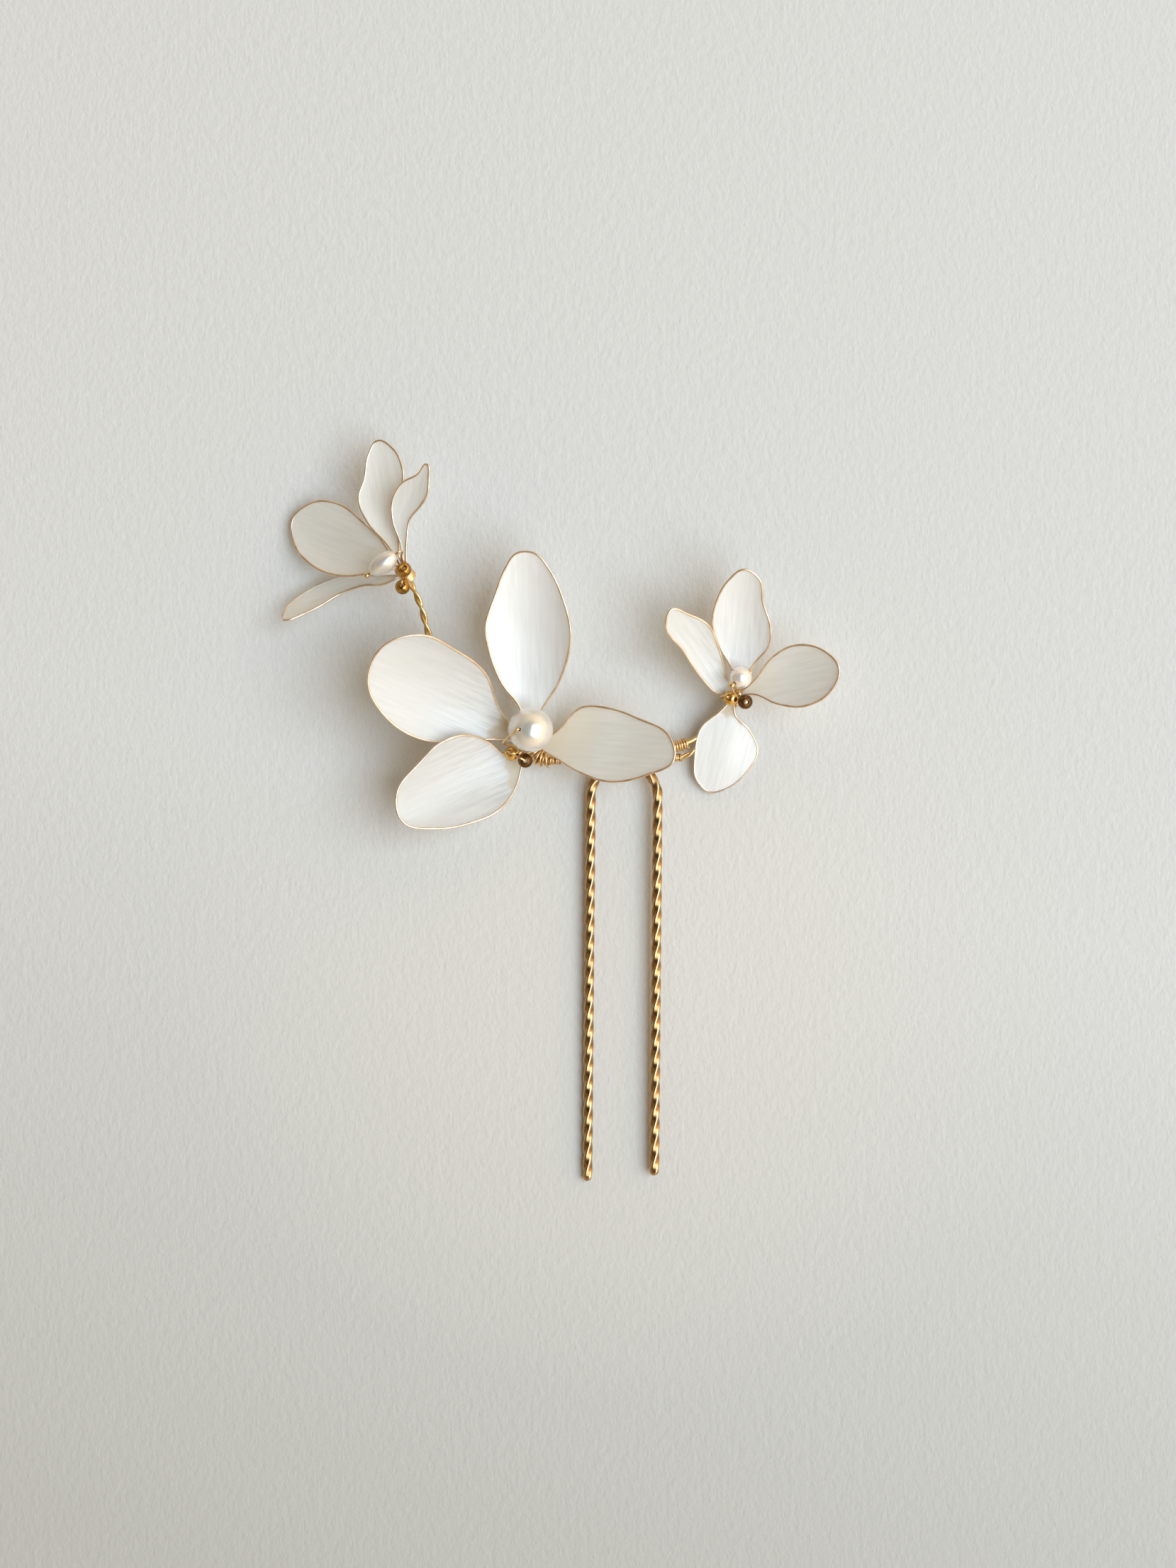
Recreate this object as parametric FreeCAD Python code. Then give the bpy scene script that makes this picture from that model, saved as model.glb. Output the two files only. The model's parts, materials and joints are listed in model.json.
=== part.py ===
"""Decorative hair pin: three dip-resin wire flowers bound to a two-prong hair fork.

Millimetres. The pin lies on its back on the plane z = 0: +Z is the side that is seen in the hair,
the prongs point along -Y, and the origin is under the middle of the whole pin.
Each flower has four petals. A petal is one loop of fine wire with a film of pearly resin in it.
"""
import FreeCAD, Part
import os
from math import atan2, cos, pi, radians, sin, sqrt, tan

V = FreeCAD.Vector

# ---------------------------------------------------------------- driving dimensions
FORK_WIRE = 1.6            # diameter over the twisted fork wire
FORK_SPACING = 11.75       # between the two prong axes
FORK_LEFT_PRONG = 66.8     # from the middle of the bend to the rounded end
FORK_RIGHT_PRONG = 65.6
FORK_BEND_CENTRE = V(11.5, 2.9, 2.05)
FORK_TURN = -0.5           # degrees about Z
FORK_PITCH = 0.75          # degrees, the bend end higher than the tips
FORK_ROLL = -3.4           # degrees, the right prong higher than the left

PETAL_WIRE = 0.45          # diameter of the petal loops
FILM = 0.2                 # thickness of the resin film
LOOP_TAIL_GAP = 0.6        # between the two tails of a petal loop
LOOP_TAIL = 1.8            # length of a tail inside the hub
FILM_START = 0.6           # where the film begins, beyond the base of the petal
STEM_WIRE = 0.6            # diameter of one strand of a stem
THREAD_WIRE = 0.36         # wire through pearls and beads
WRAP_WIRE = 0.3            # binding wire
CROSS_WIRE = 0.36          # the thicker binding wire beside the large flower
STRAND_SPACING = 1.04      # between the middles of twisted strands, in strand diameters

LARGE_PEARL = 7.8          # diameter
RIGHT_PEARL = 3.8          # diameter
LEFT_PEARL = (5.6, 3.5)    # length and diameter of the rice pearl
BEAD = 2.6                 # diameter of every polished gold bead
BORE = 0.9                 # hole through pearls and beads
PIN_BALL = 1.0             # ball end of a head pin

CUP_WIDTH = 6.0            # distance from the midrib at which a petal has risen by its cup

LARGE_HUB = V(-5.4, 11.9, 0.0)
LEFT_HUB = V(-26.5, 41.6, 7.9)
LEFT_HUB_AXIS = V(-0.35, 0.35, 0.87)
RIGHT_HUB = V(31.4, 20.7, 0.0)

# where each petal starts, which way its midrib goes and how it is curved (see petal_point)
PETALS = {
    "large_top": dict(base=(-4.9, 13.0, 4.0), heading=93, rise=18, roll=0, length=33.1, cup=1.8, bow=1.6,
                      outline=[(4.5, -2), (10, -5.5), (15.5, -7.5), (19, -8), (25, -7), (30, -5), (33, -2.5),
                               (33, 0.5), (30.5, 2.5), (26, 4.5), (20.5, 6.5), (15.5, 6), (10.5, 4.5),
                               (5.5, 1.5)]),
    "large_left": dict(base=(-6.5, 12.7, 4.0), heading=157, rise=27, roll=-7, length=30.6, cup=1.2, bow=1.6,
                       outline=[(5.5, -3), (12.5, -8.5), (19.5, -10), (26.5, -10), (31, -6), (30.5, 1),
                                (24.5, 5.5), (16.5, 6.5), (10, 4.5), (4, 1.5)]),
    "large_low": dict(base=(-6.5, 10.3, 3.8), heading=-155, rise=20, roll=-12, length=24.5, cup=1.6, bow=0.8,
                      outline=[(2.5, -1), (5, -4.5), (9, -7.5), (13.5, -8), (18.5, -6), (23.5, -3), (24.5, 2),
                               (19.5, 5.5), (13.5, 7), (8, 7), (2.5, 4)]),
    "large_right": dict(base=(-3.4, 11.7, 4.0), heading=-3, rise=24, roll=0, length=25.9, cup=1.2, bow=1.2,
                        outline=[(2.5, -1.5), (7.5, -4), (13.5, -5.5), (20.5, -4), (25.5, -1), (24.5, 2.5),
                                 (18.5, 5.5), (13.5, 7), (8, 7), (3.5, 3)]),
    "right_top": dict(base=(31.4, 21.7, 4.5), heading=89, rise=25, roll=0, length=22.2, cup=1.6, bow=1.2,
                      outline=[(4.5, -2.5), (8.5, -5), (11.5, -5), (16, -3.5), (20.5, -2.5), (22, 0),
                               (20, 2.5), (16, 4.5), (12, 5), (8.5, 4), (4, 1.5)]),
    "right_left": dict(base=(30.4, 20.9, 4.5), heading=131, rise=30, roll=0, length=20.8, cup=1.2, bow=0.8,
                       outline=[(3, -1), (8.5, -3), (13.5, -4), (17.5, -2.5), (20.5, -0.5), (19, 1.5),
                                (12.5, 2), (6, 2.5), (2, 2)]),
    "right_right": dict(base=(31.9, 20.9, 4.5), heading=12, rise=30, roll=0, length=19.0, cup=1.2, bow=0.8,
                        outline=[(2, -0.5), (6, -3), (11.5, -4.5), (16.5, -3), (19, 0.5), (17, 4), (12, 6),
                                 (7.5, 5), (2.5, 1.5)]),
    "right_low": dict(base=(30.3, 19.5, 4.2), heading=-104, rise=-11, roll=0, length=16.6, cup=-0.6, bow=-0.8,
                      outline=[(2, -1.5), (5.5, -4), (10.5, -4), (15, -2.5), (16.5, 0), (15, 3), (11.5, 5.5),
                               (7.5, 6.5), (4, 4), (2, 1)]),
    "left_top": dict(base=(-27.7, 44.3, 9.5), heading=100, rise=-4, roll=-10, length=20.5, cup=1.0, bow=0.8,
                     outline=[(5, -1), (9.5, -2), (15, -3.5), (18.5, -2.5), (20.5, 0), (18.5, 2), (14.5, 3.5),
                              (11.5, 5), (6.5, 4), (2.5, 1.5)]),
    "left_right": dict(base=(-26.3, 43.25, 9.9), heading=80, rise=17, roll=-20, length=17.6, cup=1.0, bow=0.5,
                       outline=[(4, 0.5), (7.5, 0.5), (10, -1), (12, -2), (15.5, -2), (17.5, -1.5), (15.5, 0),
                                (13, 3), (10.5, 4), (6.5, 3.5), (3, 1.5)]),
    "left_left": dict(base=(-28.2, 42.5, 9.5), heading=157, rise=-21, roll=0, length=21.7, cup=1.2, bow=0.8,
                      outline=[(4.5, -3.5), (8.5, -5), (14, -6.5), (19.5, -5), (22, -1), (20, 2.5), (15, 5),
                               (9.5, 5), (3, 2)]),
    "left_low": dict(base=(-27.5, 41.0, 9.0), heading=-162, rise=-8, roll=55, length=21.7, cup=1.0, bow=0.8,
                     outline=[(3.5, -2.5), (9.5, -6), (16, -5.5), (21, -2), (21.5, 1.5), (16.5, 0.5),
                              (11, -2), (7, -2), (2.5, 0.5)]),
}

# pearls and beads: centre, direction of the drilled hole, length along it and diameter
BALLS = {
    "large_pearl": ((-4.75, 14.45, 9.5), (-0.47, 0, 0.88), LARGE_PEARL, LARGE_PEARL),
    "large_outer_bead": ((-8.05, 10.4, 6.4), (-0.35, 0.2, 0.9), BEAD, BEAD),
    "large_inner_bead": ((-5.7, 9.2, 7.2), (0.05, -0.05, 1), BEAD, BEAD),
    "left_pearl": ((-29.9, 42.8, 12.4), (-0.8, -0.56, -0.2), LEFT_PEARL[0], LEFT_PEARL[1]),
    "left_upper_bead": ((-26.4, 41.9, 11.1), (0.1, 0.1, 1), BEAD, BEAD),
    "left_lower_bead": ((-26.8, 39.1, 9.0), (0, 0.25, 0.97), BEAD, BEAD),
    "right_pearl": ((31.5, 23.5, 8.3), (-0.6, -0.54, 0.59), RIGHT_PEARL, RIGHT_PEARL),
    "right_inner_bead": ((29.9, 20.0, 6.4), (-0.3, 0.1, 0.95), BEAD, BEAD),
    "right_outer_bead": ((32.35, 19.35, 7.6), (0.15, -0.1, 1), BEAD, BEAD),
}

# routes of the wires that bind the three flowers to the fork
CROWN_ROUTE = [(-4.4, 10.8, 3.2), (-3.2, 9.6, 3.4), (-0.4, 9.4, 3.3), (4.6, 9.8, 2.9), (11.5, 10.2, 2.5),
               (16.1, 10.8, 2.9), (18.8, 11.3, 3.3)]
LEFT_STEM_ROUTE = [(-7.5, 13.9, 2.4), (-11.6, 17.4, 3.4), (-18.2, 22.5, 4.8), (-22.4, 30.8, 6.0),
                   (-24.1, 36.7, 6.4), (-25.6, 39.9, 6.6), (-26.3, 41.3, 7.4)]
RIGHT_STEM_ROUTE = [(19.4, 11.5, 3.4), (21.1, 11.9, 3.4), (22.8, 12.5, 3.2), (25.2, 13.9, 2.6),
                    (28.4, 17.1, 2.3), (30.8, 19.9, 2.5)]
RIGHT_BRACE_ROUTE = [(19.4, 10.1, 3.2), (21.0, 9.7, 3.1), (22.8, 10.3, 2.8), (25.0, 12.1, 2.2),
                     (28.4, 15.5, 1.9), (31.1, 19.3, 2.0)]
RIGHT_STEM_WIRE = 0.85

HUB_OF = {
    "large": LARGE_HUB + V(0, 0, 2.6),
    "left": LEFT_HUB,
    "right": RIGHT_HUB + V(0, 0, 2.9),
}


# ---------------------------------------------------------------- curves and tubes
def unit(v):
    return v * (1 / v.Length)


def circle_tangent(a, b, c):
    """Direction at b of the circle through a, b and c."""
    u = b - a
    v = c - b
    return unit(u * (v.Length / u.Length) + v * (u.Length / v.Length))


def mirrored(tangent, a, b):
    """Direction at a of the arc that reaches b along the given tangent."""
    chord = unit(b - a)
    return chord * (2 * tangent.dot(chord)) - tangent


def arc_edge(a, tangent, b):
    """Edge from a to b that leaves a along the tangent: a circular arc, or a line when it is straight."""
    chord = unit(b - a)
    along = max(-1.0, min(1.0, tangent.dot(chord)))
    side = tangent - chord * along
    if side.Length < 1e-4:
        return Part.LineSegment(a, b).toShape()
    half_turn = atan2(side.Length, along)
    middle = (a + b) * 0.5 + unit(side) * ((b - a).Length / 2 * tan(half_turn / 2))
    return Part.Arc(a, middle, b).toShape()


def two_arcs(a, ta, b, tb):
    """Two arcs that meet smoothly between a and b and follow the tangents ta and tb."""
    v = b - a
    spread = 1 - ta.dot(tb)
    lean = v.dot(ta + tb)
    if spread < 1e-7:
        reach = v.dot(v) / (2 * lean)
    else:
        reach = (sqrt(lean * lean + 2 * spread * v.dot(v)) - lean) / (2 * spread)
    start = a + ta * reach
    end = b - tb * reach
    joint = (start + end) * 0.5
    return [arc_edge(a, ta, joint), arc_edge(joint, unit(end - start), b)]


def smooth_path(points, closed=False):
    """Wire of arcs through the points, with no corner anywhere."""
    count = len(points)
    if closed:
        tangents = [circle_tangent(points[i - 1], points[i], points[(i + 1) % count]) for i in range(count)]
        spans = [(i, (i + 1) % count) for i in range(count)]
    else:
        inner = [circle_tangent(points[i - 1], points[i], points[i + 1]) for i in range(1, count - 1)]
        first = mirrored(inner[0], points[0], points[1])
        last = mirrored(inner[-1], points[-1], points[-2])
        tangents = [first] + inner + [last]
        spans = [(i, i + 1) for i in range(count - 1)]
    edges = []
    for i, j in spans:
        edges += two_arcs(points[i], tangents[i], points[j], tangents[j])
    return Part.Wire(edges)


def tube(path, diameter):
    """Round wire along a path, checked against its section times its length."""
    start = path.OrderedEdges[0]
    at = start.valueAt(start.FirstParameter)
    along = start.tangentAt(start.FirstParameter)
    profile = Part.Wire(Part.Circle(at, along, diameter / 2).toShape())
    solid = path.makePipeShell([profile], True, False)
    if solid.Volume < 0:
        solid.reverse()
    expected = pi * diameter ** 2 / 4 * path.Length
    if abs(solid.Volume / expected - 1) > 0.02 or not solid.isValid():
        raise ValueError("a tube came out wrong: %.3f of %.3f mm3" % (solid.Volume, expected))
    return solid


def round_wire(points, diameter):
    return tube(smooth_path([V(*p) for p in points]), diameter)


def around(path, start, end, turns, radius, phase=0.0, squash=1.0, steps=8):
    """Points of a helix round a path, from one fraction of its length to another."""
    count = max(4, int(round(abs(turns) * steps)))
    along = path.discretize(Number=401)
    points = []
    for i in range(count + 1):
        place = (start + (end - start) * i / count) * 400
        low = min(399, int(place))
        centre = along[low] + (along[low + 1] - along[low]) * (place - low)
        forward = unit(along[low + 1] - along[low])
        side = unit(forward.cross(V(0, 0, 1)))
        up = side.cross(forward)
        angle = phase + 2 * pi * turns * i / count
        points.append(centre + side * (radius * cos(angle)) + up * (radius * squash * sin(angle)))
    return points


def twisted(points, strands, diameter, pitch):
    """Strands of round wire twisted together along a path, as separate solids in one shape."""
    path = smooth_path([V(*p) for p in points])
    radius = STRAND_SPACING * diameter / 2 / sin(pi / strands)
    turns = path.Length / pitch
    solids = []
    for k in range(strands):
        helix = around(path, 0, 1, turns, radius, 2 * pi * k / strands)
        solids.append(tube(smooth_path(helix), diameter))
    return Part.makeCompound(solids)


# ---------------------------------------------------------------- petals
def petal_axes(petal):
    """Unit vectors along the midrib, across it and out of the petal's face."""
    heading = radians(petal["heading"])
    rise = radians(petal["rise"])
    roll = radians(petal["roll"])
    along = V(cos(heading) * cos(rise), sin(heading) * cos(rise), sin(rise))
    level = V(-sin(heading), cos(heading), 0)
    face = along.cross(level)
    across = level * cos(roll) + face * sin(roll)
    return along, across, along.cross(across)


def petal_point(petal, s, w, lift=0.0):
    """Point of the petal at s along its midrib and w across it.

    The face is a shallow dish: cup is its rise CUP_WIDTH from the midrib, bow is its sag halfway along.
    """
    along, across, face = petal_axes(petal)
    part = s / petal["length"]
    height = petal["cup"] * (w / CUP_WIDTH) ** 2 - petal["bow"] * 4 * part * (1 - part) + lift
    return V(*petal["base"]) + along * s + across * w + face * height


def loop_points(petal):
    """Corner-free loop of the petal: out of the hub, round the outline and back to the hub."""
    outline = petal["outline"]
    half = LOOP_TAIL_GAP / 2
    side = half if outline[0][1] > 0 else -half
    ends = [petal_point(petal, 0, side), petal_point(petal, 0, -side)]
    return [ends[0]] + [petal_point(petal, s, w) for s, w in outline] + [ends[1]]


def petal_loop(petal, hub):
    """The wire of one petal, with two short tails that run down into the hub."""
    points = loop_points(petal)
    down = unit(hub - V(*petal["base"]))
    reach = min(LOOP_TAIL, (hub - V(*petal["base"])).Length)
    tails = [points[0] + down * reach, points[-1] + down * reach]
    return tube(smooth_path([tails[0]] + points + [tails[1]]), PETAL_WIRE)


def cubic_ends(f0, f1, f2, f3):
    """Bezier values of the cubic that runs through four evenly spaced values."""
    return [f0, (f1 * 18 - f0 * 5 - f2 * 9 + f3 * 2) * (1 / 6),
            (f0 * 2 - f1 * 9 + f2 * 18 - f3 * 5) * (1 / 6), f3]


def petal_film(petal):
    """The resin film: a curved sheet of even thickness, cut to the middle line of its wire loop."""
    outline = petal["outline"]
    spare = 1.5
    s_range = (FILM_START - spare, max(s for s, w in outline) + spare)
    w_range = (min(w for s, w in outline) - spare, max(w for s, w in outline) + spare)
    rows = []
    for i in range(4):
        s = s_range[0] + (s_range[1] - s_range[0]) * i / 3
        row = []
        for j in range(4):
            w = w_range[0] + (w_range[1] - w_range[0]) * j / 3
            row.append(petal_point(petal, s, w, -FILM / 2))
        rows.append(cubic_ends(*row))
    columns = [cubic_ends(*[rows[i][j] for i in range(4)]) for j in range(4)]
    sheet = Part.BezierSurface()
    sheet.increase(3, 3)
    for i in range(4):
        for j in range(4):
            sheet.setPole(i + 1, j + 1, columns[j][i])
    along, across, face = petal_axes(petal)
    slab = sheet.toShape().extrude(face * FILM)
    deep = petal["length"]
    base = V(*petal["base"]) - face * deep
    flat = [base + along * s + across * w for s, w in [(FILM_START, 0)] + outline]
    prism = Part.Face(smooth_path(flat, closed=True)).extrude(face * (2 * deep))
    return slab.common(prism)


# ---------------------------------------------------------------- small pieces
def hair_fork():
    """U of twisted wire with rounded ends, tilted a little because it leans on its left prong."""
    half = FORK_SPACING / 2
    left_end = V(-half, -FORK_LEFT_PRONG, 0)
    right_end = V(half, -FORK_RIGHT_PRONG, 0)
    edges = [
        Part.LineSegment(left_end, V(-half, 0, 0)).toShape(),
        Part.Arc(V(-half, 0, 0), V(0, half, 0), V(half, 0, 0)).toShape(),
        Part.LineSegment(V(half, 0, 0), right_end).toShape(),
    ]
    fork = tube(Part.Wire(edges), FORK_WIRE)
    for end in (left_end, right_end):
        fork = fork.fuse(Part.makeSphere(FORK_WIRE / 2, end))
    fork = fork.removeSplitter()
    fork.rotate(V(0, 0, 0), V(0, 1, 0), FORK_ROLL)
    fork.rotate(V(0, 0, 0), V(1, 0, 0), FORK_PITCH)
    fork.rotate(V(0, 0, 0), V(0, 0, 1), FORK_TURN)
    fork.translate(FORK_BEND_CENTRE)
    return fork


def hub(base, axis, height, radius, turns):
    """Close turns of binding wire round the tails of a flower, as one ribbed barrel."""
    rib = height / turns / 2
    edges = []
    for k in range(turns):
        low = 2 * rib * k
        edges.append(Part.Arc(V(radius, 0, low), V(radius + rib * 0.8, 0, low + rib),
                              V(radius, 0, low + 2 * rib)).toShape())
    edges.append(Part.LineSegment(V(radius, 0, height), V(0, 0, height)).toShape())
    edges.append(Part.LineSegment(V(0, 0, height), V(0, 0, 0)).toShape())
    edges.append(Part.LineSegment(V(0, 0, 0), V(radius, 0, 0)).toShape())
    barrel = Part.Face(Part.Wire(edges)).revolve(V(0, 0, 0), V(0, 0, 1), 360)
    barrel.Placement = FreeCAD.Placement(base, FreeCAD.Rotation(V(0, 0, 1), axis))
    return barrel


def wrap(points, turns, radius, diameter=WRAP_WIRE, squash=1.0):
    """Open coil of binding wire round a short straight or bent route."""
    path = smooth_path([V(*p) for p in points])
    return tube(smooth_path(around(path, 0, 1, turns, radius, squash=squash)), diameter)


def bored_ball(centre, axis, length, diameter):
    """Pearl or bead: a ball or a rice shape with a drilled hole along its axis."""
    half = length / 2
    wide = diameter / 2
    bore = BORE / 2
    rim = half * sqrt(1 - (bore / wide) ** 2)
    corners = []
    for k in range(9):
        height = rim * (k / 4 - 1)
        corners.append(V(wide * sqrt(1 - (height / half) ** 2), 0, height))
    if length == diameter:
        profile = Part.Arc(corners[0], corners[4], corners[8]).toShape()
    else:
        curve = Part.BSplineCurve()
        curve.interpolate(corners)
        profile = curve.toShape()
    wall = Part.LineSegment(corners[8], corners[0]).toShape()
    ball = Part.Face(Part.Wire([profile, wall])).revolve(V(0, 0, 0), V(0, 0, 1), 360)
    ball.Placement = FreeCAD.Placement(centre, FreeCAD.Rotation(V(0, 0, 1), axis))
    return ball


def threaded(name, reach=0.45):
    """Points that take a wire straight through a pearl or bead, from the low side to the high side."""
    centre, axis, length, diameter = BALLS[name]
    along = unit(V(*axis))
    rim = length / 2 * sqrt(1 - (BORE / diameter) ** 2)
    return [V(*centre) + along * d for d in (-rim - reach, -rim + 0.1, rim - 0.1, rim + reach)]


def thread(points):
    return round_wire(points, THREAD_WIRE)


def head_pin(name, tail):
    """Wire with a ball end on the high side of a pearl, which stops it from sliding off."""
    through = threaded(name, 0.3 + PIN_BALL / 2)
    wire = thread(through[::-1] + tail)
    return wire.fuse(Part.makeSphere(PIN_BALL / 2, through[-1]))


def post(name, root):
    """Wire that comes up from the hub and ends inside the hole of a bead."""
    return thread([root] + threaded(name)[:-1])


def write(name, shape):
    solids = shape.Solids
    if not solids or not shape.isValid():
        raise ValueError(name + " is not a valid solid")
    shape = solids[0] if len(solids) == 1 else Part.makeCompound(solids)
    shape.exportStep("parts/%s.step" % name)


# ---------------------------------------------------------------- groups of pieces
def fork_and_bindings():
    write("hair_fork", hair_fork())
    write("crown_bundle", twisted(CROWN_ROUTE, strands=3, diameter=0.5, pitch=4.0))
    write("crown_wrap", wrap([(10.0, 9.3, 2.2), (11.5, 9.35, 2.2), (13.0, 9.3, 2.2)],
                             turns=8, radius=1.8, squash=0.7))
    inner = wrap([(-4.3, 10.5, 3.3), (-3.2, 9.6, 3.4), (-1.8, 9.4, 3.4)],
                 turns=6, radius=0.95, diameter=CROSS_WIRE)
    outer = wrap([(-4.1, 10.3, 3.3), (-3.2, 9.6, 3.4), (-2.0, 9.4, 3.4)],
                 turns=-3, radius=1.36, diameter=CROSS_WIRE)
    write("cross_wrap", Part.makeCompound([inner, outer]))
    write("taper_wrap", wrap([(-1.5, 9.35, 3.4), (-0.6, 9.37, 3.35), (0.3, 9.42, 3.3)], turns=4, radius=0.8))


def large_flower_centre():
    write("large_hub", hub(LARGE_HUB, V(0, 0, 1), height=4.2, radius=1.4, turns=11))
    write("large_centre_wire", thread(
        [(-5.3, 12.1, 3.4), (-3.7, 13.4, 4.9)] + threaded("large_pearl")
        + [(-7.35, 14.0, 13.2), (-8.7, 13.1, 10.6), (-9.5, 12.2, 8.3), (-8.7, 12.0, 6.0), (-6.7, 11.7, 3.9)]))
    write("large_bead_wire", thread(
        [(-6.0, 11.0, 3.2)] + threaded("large_outer_bead")
        + [(-7.8, 10.2, 8.7), (-6.3, 9.5, 9.3)] + threaded("large_inner_bead")[::-1] + [(-5.5, 10.8, 3.6)]))


def left_flower_centre():
    write("left_stem", twisted(LEFT_STEM_ROUTE, strands=2, diameter=STEM_WIRE, pitch=6.0))
    axis = unit(LEFT_HUB_AXIS)
    write("left_hub", hub(LEFT_HUB - axis * 1.3, axis, height=2.6, radius=1.15, turns=7))
    write("left_pearl_pin", head_pin("left_pearl", [(-26.8, 43.8, 11.0), (-26.7, 42.4, 8.9)]))
    write("left_bead_post", post("left_upper_bead", (-26.5, 41.6, 8.6)))
    write("left_bead_wire", thread(
        [(-26.4, 41.0, 7.2)] + threaded("left_lower_bead") + [(-26.7, 40.7, 9.9), (-26.5, 41.3, 8.3)]))


def right_flower_centre():
    write("right_stem", round_wire(RIGHT_STEM_ROUTE, RIGHT_STEM_WIRE))
    write("right_brace", twisted(RIGHT_BRACE_ROUTE, strands=2, diameter=0.45, pitch=5.0))
    write("right_wrap", wrap([(19.9, 11.6, 3.4), (21.1, 11.9, 3.4), (22.5, 12.35, 3.25)],
                             turns=7, radius=0.95))
    write("right_brace_wrap", wrap([(19.8, 10.0, 3.15), (20.6, 9.75, 3.12), (21.5, 9.8, 3.05)],
                                   turns=5, radius=0.62))
    write("right_hub", hub(RIGHT_HUB + V(0, 0, 0.2), V(0, 0, 1), height=4.3, radius=1.15, turns=11))
    write("right_pearl_pin", head_pin("right_pearl",
                                      [(33.5, 23.9, 6.0), (32.65, 22.4, 5.2), (31.7, 21.1, 3.7)]))
    write("right_bead_post", post("right_outer_bead", (31.9, 20.4, 3.9)))
    write("right_bead_wire", thread(
        [(30.8, 20.4, 3.4)] + threaded("right_inner_bead")
        + [(28.4, 20.3, 7.3), (28.3, 20.0, 5.6), (30.0, 20.3, 3.8)]))


def build():
    os.makedirs("parts", exist_ok=True)
    fork_and_bindings()
    large_flower_centre()
    left_flower_centre()
    right_flower_centre()
    for name, (centre, axis, length, diameter) in BALLS.items():
        write(name, bored_ball(V(*centre), V(*axis), length, diameter))
    for name, petal in PETALS.items():
        flower = name.split("_")[0]
        write(name + "_loop", petal_loop(petal, HUB_OF[flower]))
        write(name + "_film", petal_film(petal))


build()
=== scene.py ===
import json
import math
import random

import bmesh
import bpy
import numpy as np
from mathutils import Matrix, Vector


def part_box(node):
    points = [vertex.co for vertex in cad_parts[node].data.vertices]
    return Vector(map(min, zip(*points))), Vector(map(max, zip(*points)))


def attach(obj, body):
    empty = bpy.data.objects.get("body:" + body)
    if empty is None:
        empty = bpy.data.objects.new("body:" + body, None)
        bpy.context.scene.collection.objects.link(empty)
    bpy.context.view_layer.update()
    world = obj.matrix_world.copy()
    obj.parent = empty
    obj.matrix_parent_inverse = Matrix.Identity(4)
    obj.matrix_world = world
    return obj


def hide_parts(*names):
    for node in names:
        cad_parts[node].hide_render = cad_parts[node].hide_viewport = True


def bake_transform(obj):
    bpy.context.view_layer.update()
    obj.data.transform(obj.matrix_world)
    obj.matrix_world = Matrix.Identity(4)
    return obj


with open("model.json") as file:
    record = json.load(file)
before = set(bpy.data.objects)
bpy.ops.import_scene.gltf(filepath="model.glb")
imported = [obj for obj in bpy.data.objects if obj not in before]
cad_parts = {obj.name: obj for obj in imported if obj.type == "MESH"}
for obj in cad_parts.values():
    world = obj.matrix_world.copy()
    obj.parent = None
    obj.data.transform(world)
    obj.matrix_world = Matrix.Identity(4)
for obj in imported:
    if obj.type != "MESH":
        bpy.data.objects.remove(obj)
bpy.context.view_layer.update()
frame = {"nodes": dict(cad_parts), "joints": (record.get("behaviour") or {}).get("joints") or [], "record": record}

MM = 0.001
WELD = 1e-7                # points closer than this, in metres, are one
CAP_RINGS = (78, 55, 28)   # degrees at which the half ball at a wire's end has its rings of points

# ---------------------------------------------------------------- sizes and places, in millimetres
FORK_SPACING = 11.75
FORK_LEFT_PRONG = 66.8
FORK_RIGHT_PRONG = 65.6
FORK_BEND_CENTRE = (11.5, 2.9, 2.05)
FORK_TURN = -0.5
FORK_PITCH = 0.75
FORK_ROLL = -3.4
FORK_EDGE = 0.9            # from the middle of the fork's square wire to one of its rounded edges
FORK_TWIST = 12.3          # length in which the square wire turns once round

PETAL_WIRE_RADIUS = 0.198  # a little finer than the design's 0.225
LOOP_TAIL_GAP = 0.6        # between the two ends of a petal's loop
LOOP_TAIL = 1.8            # how far the loop's ends reach into the hub
CUP_WIDTH = 6.0            # distance from the midrib at which a petal has risen by its cup
FILM_ROW = 0.42            # spacing of the film's rows of points
FILM_COLUMNS = 34          # faces from side to side
FILM_HALF = 0.065          # half the film's thickness in the middle of a petal
FILM_RIM = 0.12            # added to that beside the wire, fading over FILM_RIM_WIDTH
FILM_RIM_WIDTH = 0.4
FILM_WAVES = ((0.10, 0.12, 0.25), (0.03, 0.35, 0.6), (0.008, 0.9, 1.5))  # height, range of frequency
FILM_FLAT = 2.5            # the waves reach their full height this far from the wire

WRAP_WIRE = 0.3
CROSS_WIRE = 0.36
BUNDLE_WIRE = 0.5
BRACE_WIRE = 0.45
STEM_WIRE = 0.6
RIGHT_STEM_WIRE = 0.85
BUNDLE_TWIST = 4.0         # length in which the wires turn once round each other
STEM_TWIST = 6.0
BRACE_TWIST = 5.0
STRAND_REACH = 0.52        # in wire diameters; at 0.5 the twisted wires would touch
HUB_LEAN = (0.03, 0.02, 0)  # how far from its axis each hub leans, for every unit of its height
HUB_CORE = 0.93            # radius of the core, as a share of the hub's
HUB_LIFT = 0.04            # how far outside the hub's radius the middle of the wire runs
HUB_TURN = 0.56            # radius of the wire, as a share of the turns' pitch; they close up above 0.5

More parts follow.
